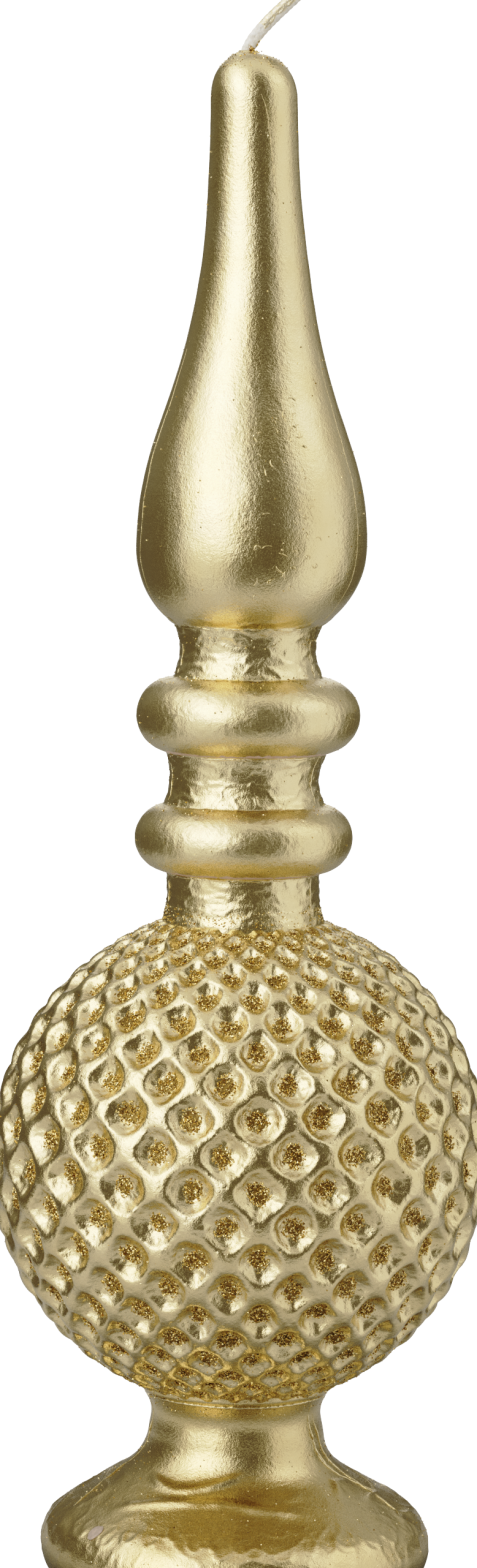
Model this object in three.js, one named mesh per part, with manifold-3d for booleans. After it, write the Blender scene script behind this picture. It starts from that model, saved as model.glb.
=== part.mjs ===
// A moulded decorative candle with a rounded foot, a dimpled ball, two beads and a long spire.
// It is a wax core in a thin gold lacquer coat, with a braided wick from its base to its tip.
// Millimetres, +Z up, standing on z = 0 with its axis on the Z axis and its front facing -Y.

import * as THREE from 'three';
import { mergeVertices } from 'three/addons/utils/BufferGeometryUtils.js';
import Module from 'manifold-3d';

const wasm = await Module();
wasm.setup();

// The foot: its widest radius, its rounded edge, how far its flat base is drawn in from there,
// the slope of its flank from the vertical wall of the edge, and the neck that it runs up into.
const FOOT_RADIUS = 31.5;
const FOOT_EDGE_RADIUS = 7.2;
const FOOT_BASE_DRAW_IN = 5;
const FOOT_FLANK_DEGREES = 58.8;
const FOOT_FILLET_RADIUS = 8.4;
const FOOT_NECK_RADIUS = 14.2;
const FOOT_WAIST_RADIUS = 13.8;
const FOOT_NECK_TOP_RADIUS = 15.5;

// The ball, the height of its centre above the base, and its lattice of dimples. The rows lie at
// latitudes LATTICE_REACH * sin(step), so they close up towards the poles, and the whole lattice
// is raised and turned a little on the ball. Each row is also turned by ROW_TWIST from the row
// below it. A dimple is a four-sided pit, a little deeper than the real bowl and as big inside.
const BALL_RADIUS = 40.5;
const BALL_HEIGHT = 70.4;
const DIMPLE_DEPTH = 2.3;
const DIMPLES_AROUND = 23;
const DIMPLE_ROWS = 21;
const LATTICE_REACH_DEGREES = 82;
const ROW_STEP_DEGREES = 8.14;
const LATTICE_RAISE_DEGREES = 1.2;
const LATTICE_TURN_DEGREES = 4.8;
const ROW_TWIST_DEGREES = -0.24;

// The two beads: each one's height above the last feature, its outer radius and its own roundness.
const LOWER_BEAD_ABOVE_BALL = 51.6;
const LOWER_BEAD_OUTER_RADIUS = 17.5;
const LOWER_BEAD_ROUNDING = 5.4;
const UPPER_BEAD_ABOVE_LOWER = 19.7;
const UPPER_BEAD_OUTER_RADIUS = 17.95;
const UPPER_BEAD_ROUNDING = 6;
const BEAD_FILLET = 0.5;

// The necks between them, each at its ends and at its waist.
const BALL_NECK_RADIUS = 12.9;
const BALL_NECK_WAIST = 12.2;
const BEAD_NECK_RADIUS = 12.7;
const BEAD_NECK_WAIST = 11.9;
const BULB_NECK_RADIUS = 11.8;
const BULB_NECK_WAIST = 10.8;

// The bulb and the spire that it draws out into, with the lengths of the curve's two handles.
const BULB_ABOVE_UPPER_BEAD = 27;
const BULB_RADIUS = 18.45;
const BULB_ROUNDING = 15.2;
const SPIRE_LENGTH = 70.3;
const SPIRE_BULB_HANDLE = 21.5;
const SPIRE_TIP_HANDLE = 48.3;
const SPIRE_TIP_TAPER = 0.45;
const TIP_RADIUS = 6.95;
const TIP_HEIGHT = 7.75;

// The lacquer coat's thickness, its running clearance to the wax, and its lower edge's height.
const COAT_THICKNESS = 0.35;
const COAT_CLEARANCE = 0.3;
const COAT_EDGE_HEIGHT = 0.4;

// The flat braided wick, how far to the left of the axis it stands, and the reach and rise of its
// exposed end, which leans to the right. Its bend is a curve with two handles, each given as a
// reach and a rise from the wick's root.
const WICK_WIDTH = 2.3;
const WICK_THICKNESS = 1.6;
const WICK_OFFSET = 0.9;
const WICK_REACH = 11.5;
const WICK_RISE = 12.6;
const WICK_ROOT_HANDLE = [0.9, 2.9];
const WICK_END_HANDLE = [3.6, 5.2];
const WICK_CLEARANCE = 0.3;

// The wick's sustainer: a tinplate disc with a raised neck that is crimped round the wick.
const SUSTAINER_RADIUS = 10;
const SUSTAINER_SHEET = 0.4;
const SUSTAINER_NECK_HEIGHT = 5;
const SUSTAINER_CLEARANCE = 0.3;

// The wax plug that closes the base pocket below the sustainer.
const PLUG_RADIUS = 12.5;
const PLUG_THICKNESS = 7;
const PLUG_RECESS = 0.4;
const PLUG_CLEARANCE = 0.3;

// How finely the round forms are cut.
const COAT_SIDES = 28;
const CORE_SIDES = 24;
const WICK_SIDES = 12;

// Heights and places that follow from those sizes.
const FOOT_EDGE_CENTRE = FOOT_RADIUS - FOOT_EDGE_RADIUS;
const FOOT_BASE_RADIUS = FOOT_RADIUS - FOOT_BASE_DRAW_IN;
const FOOT_EDGE_HEIGHT = Math.sqrt(FOOT_EDGE_RADIUS ** 2 - (FOOT_BASE_RADIUS - FOOT_EDGE_CENTRE) ** 2);
const LOWER_BEAD_HEIGHT = BALL_HEIGHT + LOWER_BEAD_ABOVE_BALL;
const UPPER_BEAD_HEIGHT = LOWER_BEAD_HEIGHT + UPPER_BEAD_ABOVE_LOWER;
const BULB_HEIGHT = UPPER_BEAD_HEIGHT + BULB_ABOVE_UPPER_BEAD;
const SHOULDER_HEIGHT = BULB_HEIGHT + SPIRE_LENGTH;
const TOP_HEIGHT = SHOULDER_HEIGHT + TIP_HEIGHT;
const PLUG_TOP = PLUG_RECESS + PLUG_THICKNESS;
const SUSTAINER_BOTTOM = PLUG_TOP + PLUG_CLEARANCE;
const SUSTAINER_TOP = SUSTAINER_BOTTOM + SUSTAINER_SHEET;
const POCKET_TOP = SUSTAINER_TOP + SUSTAINER_CLEARANCE;
const SUSTAINER_NECK_BORE = WICK_WIDTH / 2 + WICK_CLEARANCE;
const SUSTAINER_NECK_RADIUS = SUSTAINER_NECK_BORE + SUSTAINER_SHEET;
const SUSTAINER_NECK_TOP = SUSTAINER_TOP + SUSTAINER_NECK_HEIGHT;

const radians = THREE.MathUtils.degToRad;
const degrees = THREE.MathUtils.radToDeg;

// An outline is a list of points whose x is a radius and whose y is a height.
const point = (radius, height) => new THREE.Vector2(radius, height);

// An arc about a centre, between two angles measured from straight outwards.
function arc(centreRadius, centreHeight, radius, fromDegrees, toDegrees, steps) {
  const points = [];
  for (let i = 0; i <= steps; i++) {
    const angle = radians(fromDegrees + ((toDegrees - fromDegrees) * i) / steps);
    points.push(point(centreRadius + radius * Math.cos(angle), centreHeight + radius * Math.sin(angle)));
  }
  return points;
}

// A neck between two heights, drawn in at its middle.
function neck(lowRadius, lowHeight, waistRadius, highRadius, highHeight) {
  const middle = point(waistRadius, (lowHeight + highHeight) / 2);
  const curve = new THREE.SplineCurve([point(lowRadius, lowHeight), middle, point(highRadius, highHeight)]);
  return curve.getPoints(2);
}

// A bead with a small fillet into the neck below it and the neck above it.
function bead(height, outerRadius, rounding, neckBelow, neckAbove) {
  const centre = outerRadius - rounding;
  const reach = rounding + BEAD_FILLET;
  const side = (neckRadius) => {
    const across = neckRadius + BEAD_FILLET - centre;
    const up = Math.sqrt(reach ** 2 - across ** 2);
    return { across, up, turn: degrees(Math.acos(across / reach)) };
  };
  const below = side(neckBelow);
  const above = side(neckAbove);
  return [
    ...arc(centre + below.across, height - below.up, BEAD_FILLET, 180, 180 - below.turn, 2),
    ...arc(centre, height, rounding, -below.turn, above.turn, 6).slice(1, -1),
    ...arc(centre + above.across, height + above.up, BEAD_FILLET, 180 + above.turn, 180, 2),
  ];
}

// The foot from the edge of its flat base up its flank and its neck, ending inside the ball.
function footOutline() {
  const baseDegrees = degrees(Math.atan2(-FOOT_EDGE_HEIGHT, FOOT_BASE_RADIUS - FOOT_EDGE_CENTRE));
  const edge = arc(FOOT_EDGE_CENTRE, FOOT_EDGE_HEIGHT, FOOT_EDGE_RADIUS,
    baseDegrees, FOOT_FLANK_DEGREES, 7);
  const flank = radians(FOOT_FLANK_DEGREES);
  const neckTop = BALL_HEIGHT - Math.sqrt(BALL_RADIUS ** 2 - FOOT_NECK_TOP_RADIUS ** 2);
  // The fillet takes at most half of the wall between the flank's corner and the ball.
  const cornerHeight = edge.at(-1).y + (edge.at(-1).x - FOOT_NECK_RADIUS) / Math.tan(flank);
  const filletRoom = (neckTop - cornerHeight) / 2 / Math.tan(flank / 2);
  const filletRadius = Math.min(FOOT_FILLET_RADIUS, filletRoom);
  const flankTop = FOOT_NECK_RADIUS + filletRadius * (1 - Math.cos(flank));
  const flankRun = edge.at(-1).x - flankTop;
  const filletHeight = edge.at(-1).y + flankRun / Math.tan(flank) + filletRadius * Math.sin(flank);
  const fillet = arc(FOOT_NECK_RADIUS + filletRadius, filletHeight, filletRadius,
    180 + FOOT_FLANK_DEGREES, 180, 3);
  const wall = neck(FOOT_NECK_RADIUS, filletHeight, FOOT_WAIST_RADIUS, FOOT_NECK_TOP_RADIUS, neckTop);
  const inside = point(FOOT_NECK_TOP_RADIUS, BALL_HEIGHT - BALL_RADIUS * 0.8);
  return [...edge, ...fillet, ...wall.slice(1), inside];
}

// Everything above the ball, from inside it up over the beads, the bulb and the spire to the tip.
function spireOutline() {
  const neckFoot = BALL_HEIGHT + Math.sqrt(BALL_RADIUS ** 2 - BALL_NECK_RADIUS ** 2);
  const lowerBead = bead(LOWER_BEAD_HEIGHT, LOWER_BEAD_OUTER_RADIUS, LOWER_BEAD_ROUNDING,
    BALL_NECK_WAIST, BEAD_NECK_RADIUS);
  const upperBead = bead(UPPER_BEAD_HEIGHT, UPPER_BEAD_OUTER_RADIUS, UPPER_BEAD_ROUNDING,
    BEAD_NECK_RADIUS, BULB_NECK_RADIUS);
  const bulbCentre = BULB_RADIUS - BULB_ROUNDING;
  const bulbStart = -degrees(Math.acos((BULB_NECK_RADIUS - bulbCentre) / BULB_ROUNDING));
  const bulb = arc(bulbCentre, BULB_HEIGHT, BULB_ROUNDING, bulbStart, 0, 5);
  const spire = new THREE.CubicBezierCurve(
    point(BULB_RADIUS, BULB_HEIGHT),
    point(BULB_RADIUS, BULB_HEIGHT + SPIRE_BULB_HANDLE),
    point(TIP_RADIUS + SPIRE_TIP_TAPER, SHOULDER_HEIGHT - SPIRE_TIP_HANDLE),
    point(TIP_RADIUS, SHOULDER_HEIGHT),
  ).getPoints(10);
  const tip = arc(0, 0, 1, 0, 90, 4)
    .map((p) => point(p.x * TIP_RADIUS, SHOULDER_HEIGHT + p.y * TIP_HEIGHT));
  const ballNeck = neck(BALL_NECK_RADIUS, neckFoot, BALL_NECK_WAIST,
    BALL_NECK_WAIST, lowerBead[0].y);
  const beadNeck = neck(BEAD_NECK_RADIUS, lowerBead.at(-1).y, BEAD_NECK_WAIST,
    BEAD_NECK_RADIUS, upperBead[0].y);
  const bulbNeck = neck(BULB_NECK_RADIUS, upperBead.at(-1).y, BULB_NECK_WAIST,
    BULB_NECK_RADIUS, bulb[0].y);
  return [
    point(BALL_NECK_RADIUS, BALL_HEIGHT + BALL_RADIUS * 0.8),
    ...ballNeck.slice(0, -1),
    ...lowerBead,
    ...beadNeck.slice(1, -1),
    ...upperBead,
    ...bulbNeck.slice(1, -1),
    ...bulb,
    ...spire.slice(1),
    ...tip.slice(1),
  ];
}

// Moves an outline into the material by a depth, square to itself. A last point on the axis
// stays on the axis, as if the outline went on down the other side.
function inset(outline, depth) {
  const outward = (a, b) => new THREE.Vector2(b.y - a.y, a.x - b.x).normalize();
  const sides = outline.slice(1).map((p, i) => outward(outline[i], p));
  const last = sides.at(-1);
  const beyond = outline.at(-1).x < 1e-6 ? new THREE.Vector2(-last.x, last.y) : last;
  return outline.map((p, i) => {
    const before = sides[Math.max(i - 1, 0)];
    const after = i < sides.length ? sides[i] : beyond;
    const lean = before.clone().add(after).divideScalar(1 + before.dot(after));
    return p.clone().addScaledVector(lean, -depth);
  });
}

// A solid from a closed geometry.
function solid(geometry) {
  geometry.deleteAttribute('normal');
  geometry.deleteAttribute('uv');
  const welded = mergeVertices(geometry, 1e-4);
  return new wasm.Manifold(new wasm.Mesh({
    numProp: 3,
    vertProperties: welded.attributes.position.array,
    triVerts: new Uint32Array(welded.index.array),
  }));
}

// An outline closed onto the axis at both ends and turned about it.
function turned(outline, sides) {
  const closed = [point(0, outline[0].y), ...outline];
  if (outline.at(-1).x > 1e-6) closed.push(point(0, outline.at(-1).y));
  return solid(new THREE.LatheGeometry(closed, sides).rotateX(Math.PI / 2));
}

// A solid skinned over a stack of rings, which all have as many points, and closed by a fan to
// the middle of the first ring and of the last. Where slant(row, column) is true, the face
// between two rings is split along its other diagonal.
function skinned(rings, slant = () => false) {
  const count = rings[0].length;
  const middle = (ring) => ring.reduce((sum, p) => sum.add(p), new THREE.Vector3()).divideScalar(count);
  const vertices = [...rings.flat(), middle(rings[0]), middle(rings.at(-1))];
  const bottom = vertices.length - 2;
  const top = vertices.length - 1;
  const index = [];
  for (let column = 0; column < count; column++) {
    const next = (column + 1) % count;
    for (let row = 0; row < rings.length - 1; row++) {
      const [a, b] = [row * count + column, row * count + next];
      const [c, d] = [b + count, a + count];
      index.push(...(slant(row, column) ? [a, b, d, b, c, d] : [a, b, c, a, c, d]));
    }
    index.push(bottom, next, column);
    index.push(top, (rings.length - 1) * count + column, (rings.length - 1) * count + next);
  }
  const geometry = new THREE.BufferGeometry().setFromPoints(vertices).setIndex(index);
  return solid(geometry);
}

// The ball, drawn in by a depth. Along each row, every second point is the bottom of a dimple
// and the points between are where the ridges cross; the faces are split along the ridges.
function ball(depth) {
  const columns = 2 * DIMPLES_AROUND;
  const capLatitude = Math.acos((0.75 * BALL_NECK_WAIST) / BALL_RADIUS);
  const ring = (latitude, steps, radiusAt) => Array.from({ length: columns }, (_, column) => {
    const front = radians(LATTICE_TURN_DEGREES + ROW_TWIST_DEGREES * steps) - Math.PI / 2;
    const azimuth = front + (column / columns) * 2 * Math.PI;
    const radius = radiusAt(column) - depth;
    const level = radius * Math.cos(latitude);
    return new THREE.Vector3(level * Math.cos(azimuth), level * Math.sin(azimuth),
      BALL_HEIGHT + radius * Math.sin(latitude));
  });
  const middleRow = (DIMPLE_ROWS - 1) / 2;
  const rings = [ring(-capLatitude, -middleRow, () => BALL_RADIUS)];
  for (let row = 0; row < DIMPLE_ROWS; row++) {
    const swing = (ROW_STEP_DEGREES / LATTICE_REACH_DEGREES) * (row - middleRow);
    const latitude = radians(LATTICE_REACH_DEGREES * Math.sin(swing) + LATTICE_RAISE_DEGREES);
    const radiusAt = (column) => BALL_RADIUS - ((row + column) % 2 ? 0 : DIMPLE_DEPTH);
    rings.push(ring(latitude, row - middleRow, radiusAt));
  }
  rings.push(ring(capLatitude, middleRow, () => BALL_RADIUS));
  return skinned(rings, (row, column) => (row + column) % 2 === 1);
}

// The whole moulding drawn in by a depth. Its base plane stays at z = 0, or goes down by a drop.
function moulding(depth, sides, drop = 0) {
  const foot = inset(footOutline(), depth);
  const base = foot.findIndex((p) => p.y > 0);
  const wall = [point(foot[base].x, -drop), ...foot.slice(base)];
  return turned(wall, sides).add(ball(depth)).add(turned(inset(spireOutline(), depth), sides));
}

// A straight round or oval bar along Z, between two heights, at the wick's place.
function bar(halfWidth, halfThickness, bottom, top) {
  const outline = new THREE.Shape().absellipse(-WICK_OFFSET, 0, halfWidth, halfThickness, 0, 2 * Math.PI);
  const options = { depth: top - bottom, bevelEnabled: false, curveSegments: WICK_SIDES };
  return solid(new THREE.ExtrudeGeometry(outline, options).translate(0, 0, bottom));
}

// What is cut away for the wick, with its clearance all round.
function wickHole(bottom, top) {
  return bar(WICK_WIDTH / 2 + WICK_CLEARANCE, WICK_THICKNESS / 2 + WICK_CLEARANCE, bottom, top);
}

// The lacquer coat: a thin shell, open below, with a hole for the wick at its tip.
function lacquerCoat() {
  const reach = 2 * FOOT_RADIUS;
  const underside = turned([point(reach, -1), point(reach, COAT_EDGE_HEIGHT)], COAT_SIDES);
  return moulding(0, COAT_SIDES).subtract(moulding(COAT_THICKNESS, COAT_SIDES, 1))
    .subtract(underside).subtract(wickHole(SHOULDER_HEIGHT, TOP_HEIGHT + 1));
}

// The wax core: it fills the coat, with a bore for the wick, a recess for the sustainer's neck
// and a pocket for the sustainer's disc and the plug.
function waxCore() {
  const recessRadius = SUSTAINER_NECK_RADIUS + SUSTAINER_CLEARANCE;
  const neckRecess = bar(recessRadius, recessRadius, 0, SUSTAINER_NECK_TOP + SUSTAINER_CLEARANCE);
  const pocketRadius = PLUG_RADIUS + PLUG_CLEARANCE;
  const pocket = turned([point(pocketRadius, -1), point(pocketRadius, POCKET_TOP)], CORE_SIDES);
  return moulding(COAT_THICKNESS + COAT_CLEARANCE, CORE_SIDES)
    .subtract(wickHole(0, TOP_HEIGHT)).subtract(neckRecess).subtract(pocket);
}

// The wick: straight from the sustainer to the tip, then leaning over to the right.
function wick() {
  const fromRoot = (reach, rise) => new THREE.Vector3(-WICK_OFFSET + reach, 0, TOP_HEIGHT + rise);
  const root = fromRoot(0, 0);
  const bend = new THREE.CubicBezierCurve3(
    root,
    fromRoot(...WICK_ROOT_HANDLE),
    fromRoot(...WICK_END_HANDLE),
    fromRoot(WICK_REACH, WICK_RISE),
  );
  const ring = (centre, direction) => Array.from({ length: WICK_SIDES }, (_, i) => {
    const turn = (i / WICK_SIDES) * 2 * Math.PI;
    const side = new THREE.Vector3(direction.z, 0, -direction.x);
    return centre.clone().addScaledVector(side, (WICK_WIDTH / 2) * Math.cos(turn))
      .add(new THREE.Vector3(0, (WICK_THICKNESS / 2) * Math.sin(turn), 0));
  });
  const up = new THREE.Vector3(0, 0, 1);
  const rings = [ring(new THREE.Vector3(-WICK_OFFSET, 0, SUSTAINER_BOTTOM), up), ring(root, up)];
  for (let i = 1; i <= 8; i++) rings.push(ring(bend.getPointAt(i / 8), bend.getTangentAt(i / 8)));
  return skinned(rings);
}

// The sustainer: a flat disc whose middle rises into the crimped neck.
function wickSustainer() {
  const disc = bar(SUSTAINER_RADIUS, SUSTAINER_RADIUS, SUSTAINER_BOTTOM, SUSTAINER_TOP);
  const raised = bar(SUSTAINER_NECK_RADIUS, SUSTAINER_NECK_RADIUS, SUSTAINER_BOTTOM, SUSTAINER_NECK_TOP);
  const hole = bar(SUSTAINER_NECK_BORE, SUSTAINER_NECK_BORE, SUSTAINER_BOTTOM - 1, SUSTAINER_NECK_TOP + 1);
  return disc.add(raised).subtract(hole);
}

// The plug: a disc of wax poured into the base pocket, its face just above the floor.
function basePlug() {
  return turned([point(PLUG_RADIUS, PLUG_RECESS), point(PLUG_RADIUS, PLUG_TOP)], CORE_SIDES);
}

// A named mesh for a sub-part, in its own material.
function subPart(name, shape, colour, roughness, metalness) {
  const mesh = shape.getMesh();
  const positions = new Float32Array(mesh.numVert * 3);
  for (let i = 0; i < mesh.numVert; i++) {
    positions.set(mesh.vertProperties.subarray(i * mesh.numProp, i * mesh.numProp + 3), i * 3);
  }
  const geometry = new THREE.BufferGeometry();
  geometry.setAttribute('position', new THREE.BufferAttribute(positions, 3));
  geometry.setIndex(new THREE.BufferAttribute(mesh.triVerts, 1));
  geometry.computeVertexNormals();
  const material = new THREE.MeshStandardMaterial({ color: colour, roughness, metalness });
  const part = new THREE.Mesh(geometry, material);
  part.name = name;
  return part;
}

const candle = new THREE.Group();
candle.add(subPart('wax_core', waxCore(), 0xe9d8bd, 0.6, 0));
candle.add(subPart('lacquer_coat', lacquerCoat(), 0xcdb983, 0.25, 1));
candle.add(subPart('wick', wick(), 0xe8e2d2, 0.9, 0));
candle.add(subPart('wick_sustainer', wickSustainer(), 0xb8bcc0, 0.35, 1));
candle.add(subPart('base_plug', basePlug(), 0xe4d2b4, 0.65, 0));

export default candle;
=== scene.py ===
"""The looks of a gold-lacquered spire candle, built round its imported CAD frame.

Lengths are in millimetres and turned into metres when a mesh is made. The candle's axis is Z,
its front faces -Y and the wick leans towards +X. Azimuths are measured from the front, and
grow towards +X.
"""
import math

import bpy
import numpy as np
from mathutils import Matrix, Vector


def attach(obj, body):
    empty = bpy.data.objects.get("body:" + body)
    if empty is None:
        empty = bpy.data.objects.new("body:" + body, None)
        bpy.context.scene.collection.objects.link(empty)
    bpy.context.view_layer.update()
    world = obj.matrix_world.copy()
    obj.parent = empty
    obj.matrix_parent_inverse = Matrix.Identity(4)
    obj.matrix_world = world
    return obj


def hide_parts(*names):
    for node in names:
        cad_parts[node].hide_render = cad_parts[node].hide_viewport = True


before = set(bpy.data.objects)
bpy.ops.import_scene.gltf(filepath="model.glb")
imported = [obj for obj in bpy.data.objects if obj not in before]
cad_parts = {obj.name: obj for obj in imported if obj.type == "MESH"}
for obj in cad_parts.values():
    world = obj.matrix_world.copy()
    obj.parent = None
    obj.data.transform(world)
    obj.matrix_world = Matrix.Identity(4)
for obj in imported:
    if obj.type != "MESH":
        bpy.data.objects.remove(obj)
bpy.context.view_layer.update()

MM = 0.001

# The moulding's outline, as in the CAD part.
FOOT_RADIUS = 31.5
FOOT_EDGE_RADIUS = 7.2
FOOT_BASE_DRAW_IN = 5
FOOT_FLANK_DEGREES = 58.8
FOOT_FILLET_RADIUS = 8.4
FOOT_NECK_RADIUS = 14.2
FOOT_WAIST_RADIUS = 13.8
FOOT_NECK_TOP_RADIUS = 15.5
BALL_RADIUS = 40.5
BALL_HEIGHT = 70.4
LOWER_BEAD_HEIGHT = BALL_HEIGHT + 51.6
LOWER_BEAD_OUTER_RADIUS = 17.5
LOWER_BEAD_ROUNDING = 5.4
UPPER_BEAD_HEIGHT = LOWER_BEAD_HEIGHT + 19.7
UPPER_BEAD_OUTER_RADIUS = 17.95
UPPER_BEAD_ROUNDING = 6
BEAD_FILLET = 0.5
BALL_NECK_RADIUS = 12.9
BALL_NECK_WAIST = 12.2
BEAD_NECK_RADIUS = 12.7
BEAD_NECK_WAIST = 11.9
BULB_NECK_RADIUS = 11.8
BULB_NECK_WAIST = 10.8
BULB_HEIGHT = UPPER_BEAD_HEIGHT + 27
BULB_RADIUS = 18.45
BULB_ROUNDING = 15.2
SHOULDER_HEIGHT = BULB_HEIGHT + 70.3
SPIRE_BULB_HANDLE = 21.5
SPIRE_TIP_HANDLE = 48.3
SPIRE_TIP_TAPER = 0.45
TIP_RADIUS = 6.95
TIP_HEIGHT = 7.75
TIP_FULLNESS = 2.3
TOP_HEIGHT = SHOULDER_HEIGHT + TIP_HEIGHT
COAT_EDGE_HEIGHT = 0.4
# How far the foot and the spire run on inside the ball.
SUNK_IN_BALL = 4

# The base pocket, as in the CAD part.
POCKET_RADIUS = 12.8
POCKET_TOP = 8.4
PLUG_RADIUS = 12.5
PLUG_FACE = 0.4
PLUG_TOP = 7.4

# The ball's lattice of dimples. The film's crests stand a little inside the solid's, and sag
# between the points where two ridges cross. A dimple's mouth is a share of its cell.
DIMPLES_AROUND = 23
DIMPLE_ROWS = 21
LATTICE_REACH_DEGREES = 82
ROW_STEP_DEGREES = 8.14
LATTICE_RAISE_DEGREES = 1.2
LATTICE_TURN_DEGREES = 4.8
ROW_TWIST_DEGREES = -0.24
CREST_RADIUS = 40.43
RIDGE_SAG = 0.45
DIMPLE_DEPTH = 1.65
DIMPLE_MOUTH = 0.86
# How square the cells and how flat the dimples' bottoms are, and how round their lips.
CELL_SQUARENESS = 2.8
BOWL_FLATNESS = 2.7
LIP_ROUNDING = 0.16
# How far the whole film of the ball lies inside its crests' radius.
FILM_INSET = 0.08

# The wick, as in the CAD part.
WICK_WIDTH = 2.3
WICK_THICKNESS = 1.6
WICK_OFFSET = 0.9
WICK_BEND = [(0, 0), (0.9, 2.9), (3.6, 5.2), (11.5, 12.6)]
WICK_BOTTOM = 7.7
GILDING_START = 4.8

rng = np.random.default_rng(7)


# Noise and small helpers

def smooth(low, high, value):
    """0 below low, 1 above high, and an even curve between them."""
    t = np.clip((value - low) / (high - low), 0, 1)
    return t * t * (3 - 2 * t)


def corner_gradient(cell, seed):
    """A steady random direction for each lattice cell."""
    mixed = (cell * np.array([73856093, 19349663, 83492791])).sum(axis=-1) + seed * 2654435761
    mixed = (mixed ^ (mixed >> 13)) * 1274126177
    mixed = mixed ^ (mixed >> 16)
    turn = (mixed & 1023) / 1024 * 2 * math.pi
    level = ((mixed >> 10) & 1023) / 511.5 - 1
    across = np.sqrt(1 - level * level)
    return np.stack([across * np.cos(turn), across * np.sin(turn), level], axis=-1)


def noise(points, size, seed=0):
    """Noise from about -1 to 1 at an array of points, with lumps about size across."""
    scaled = points / size
    base = np.floor(scaled).astype(np.int64)
    part = scaled - base
    fade = part ** 3 * (part * (part * 6 - 15) + 10)
    total = np.zeros(points.shape[:-1])
    for corner in np.ndindex(2, 2, 2):
        offset = np.array(corner)
        weight = np.prod(np.where(offset, fade, 1 - fade), axis=-1)
        total += weight * (corner_gradient(base + offset, seed) * (part - offset)).sum(axis=-1)
    return total * 1.6


def creases(points, size, seed=0):
    """Noise folded into narrow crests: near 1 along thin winding lines, 0 away from them."""
    return np.clip(1 - np.abs(noise(points, size, seed)) * 3.2, 0, 1) ** 2


def round_axis(azimuth, radius, height):
    """Points at azimuths, distances from the axis and heights."""
    parts = (radius * np.sin(azimuth), -radius * np.cos(azimuth), height)
    return np.stack(np.broadcast_arrays(*parts), axis=-1)


def full_turn(count):
    """Angles all the way round."""
    return np.linspace(0, 2 * np.pi, count, endpoint=False)


def unit(vectors):
    """The vectors at length 1."""
    return vectors / np.linalg.norm(vectors, axis=-1, keepdims=True)


def lengths(path):
    """How far along a path each of its points is."""
    return np.concatenate([[0], np.cumsum(np.hypot(*np.diff(path, axis=0).T))])


# Outlines: arrays of (radius, height)

def arc(centre_radius, centre_height, radius, start, end, steps):
    """Points of an arc about a centre, between two angles in degrees from straight outwards."""
    angles = np.radians(np.linspace(start, end, steps + 1))
    across = centre_radius + radius * np.cos(angles)
    return np.stack([across, centre_height + radius * np.sin(angles)], 1)


def neck(low_radius, low_height, waist, high_radius, high_height, steps=12):
    """A neck between two heights, drawn in at its middle."""
    t = np.linspace(0, 1, steps + 1)
    ends = low_radius + (high_radius - low_radius) * t
    drawn_in = waist - (low_radius + high_radius) / 2
    radii = ends + drawn_in * np.sin(np.pi * t)
    return np.stack([radii, low_height + (high_height - low_height) * t], 1)


def bead(height, outer_radius, rounding, neck_below, neck_above):
    """A bead with a small fillet into the neck on each side."""
    centre = outer_radius - rounding
    reach = rounding + BEAD_FILLET
    below, above = (radius + BEAD_FILLET - centre for radius in (neck_below, neck_above))
    turn_below, turn_above = (math.degrees(math.acos(side / reach)) for side in (below, above))
    low = height - math.sqrt(reach ** 2 - below ** 2)
    high = height + math.sqrt(reach ** 2 - above ** 2)
    return np.concatenate([
        arc(centre + below, low, BEAD_FILLET, 180, 180 - turn_below, 4),
        arc(centre, height, rounding, -turn_below, turn_above, 36)[1:-1],
        arc(centre + above, high, BEAD_FILLET, 180 + turn_above, 180, 4),
    ])


def cubic(a, b, c, d, steps):
    """Points of a cubic curve with end points a and d and handles b and c."""
    t = np.linspace(0, 1, steps + 1)[:, None]
    a, b, c, d = (np.array(p, float) for p in (a, b, c, d))
    return (1 - t) ** 3 * a + 3 * (1 - t) ** 2 * t * b + 3 * (1 - t) * t * t * c + t ** 3 * d


def foot_outline():
    """The foot from its lower edge up its flank and neck, ending inside the ball."""
    centre = FOOT_RADIUS - FOOT_EDGE_RADIUS
    base_radius = FOOT_RADIUS - FOOT_BASE_DRAW_IN
    edge_height = math.sqrt(FOOT_EDGE_RADIUS ** 2 - (base_radius - centre) ** 2)
    start = math.degrees(math.asin((COAT_EDGE_HEIGHT - edge_height) / FOOT_EDGE_RADIUS))
    edge = arc(centre, edge_height, FOOT_EDGE_RADIUS, start, FOOT_FLANK_DEGREES, 40)
    flank = math.radians(FOOT_FLANK_DEGREES)
    flank_top = FOOT_NECK_RADIUS + FOOT_FILLET_RADIUS * (1 - math.cos(flank))
    rise = (edge[-1, 0] - flank_top) / math.tan(flank)
    fillet_height = edge[-1, 1] + rise + FOOT_FILLET_RADIUS * math.sin(flank)
    fillet = arc(FOOT_NECK_RADIUS + FOOT_FILLET_RADIUS, fillet_height, FOOT_FILLET_RADIUS,
                 180 + FOOT_FLANK_DEGREES, 180, 24)
    neck_top = BALL_HEIGHT - math.sqrt(BALL_RADIUS ** 2 - FOOT_NECK_TOP_RADIUS ** 2)
    wall = neck(FOOT_NECK_RADIUS, fillet_height, FOOT_WAIST_RADIUS, FOOT_NECK_TOP_RADIUS, neck_top)
    inside = [[FOOT_NECK_TOP_RADIUS, neck_top + SUNK_IN_BALL]]
    return np.concatenate([edge, fillet, wall[1:], inside])


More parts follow.
